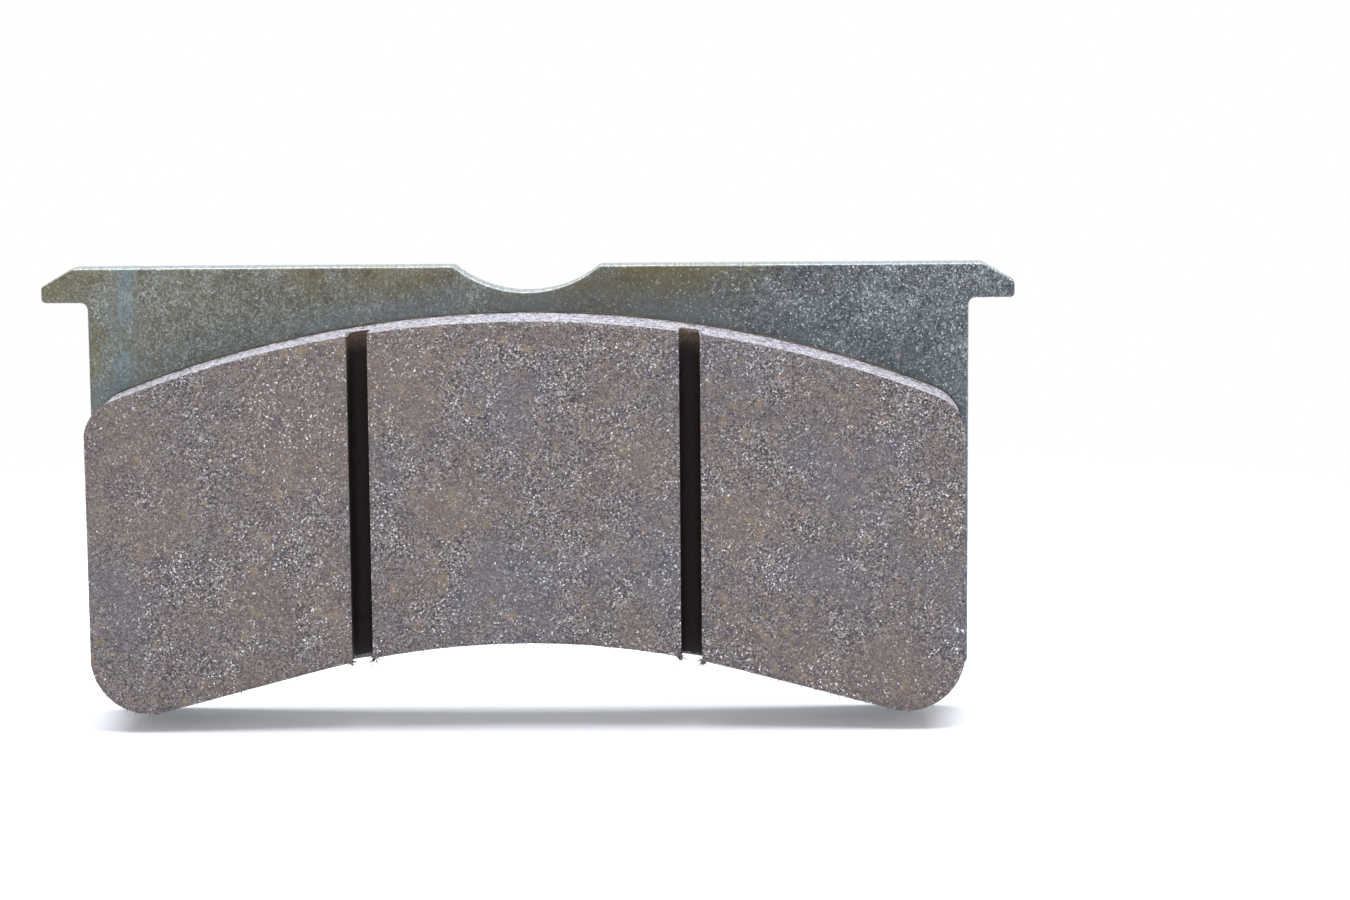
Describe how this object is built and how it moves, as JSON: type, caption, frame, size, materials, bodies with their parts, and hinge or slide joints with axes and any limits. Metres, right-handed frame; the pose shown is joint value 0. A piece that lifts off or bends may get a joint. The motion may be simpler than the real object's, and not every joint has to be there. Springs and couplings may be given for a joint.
{
  "type": "brake pad",
  "caption": "Disc brake pad for a racing caliper: eared steel backing plate with a centre notch, and a curved friction block with blind dust slots.",
  "frame": {"origin": "middle of the pad's box at its lowest level, where the two lower corners of the steel plate stand", "axes": "+X along the pad between its ears, +Y from the friction face to the steel back, +Z radially outwards from the wheel's axle, so the ears and the notch are at the top"},
  "size_m": [0.132, 0.0164, 0.0618],
  "materials": {
    "plated_steel": "tumbled steel with thin, stained zinc plating",
    "bond_film": "cured brown adhesive",
    "underlayer": "dark moulded compound",
    "friction_compound": "ground friction compound with metal and mineral specks"
  },
  "bodies": {
    "root": {"backing_plate": "plated_steel", "bond_film": "bond_film", "underlayer": "underlayer", "friction_block": "friction_compound"}
  },
  "joints": []
}
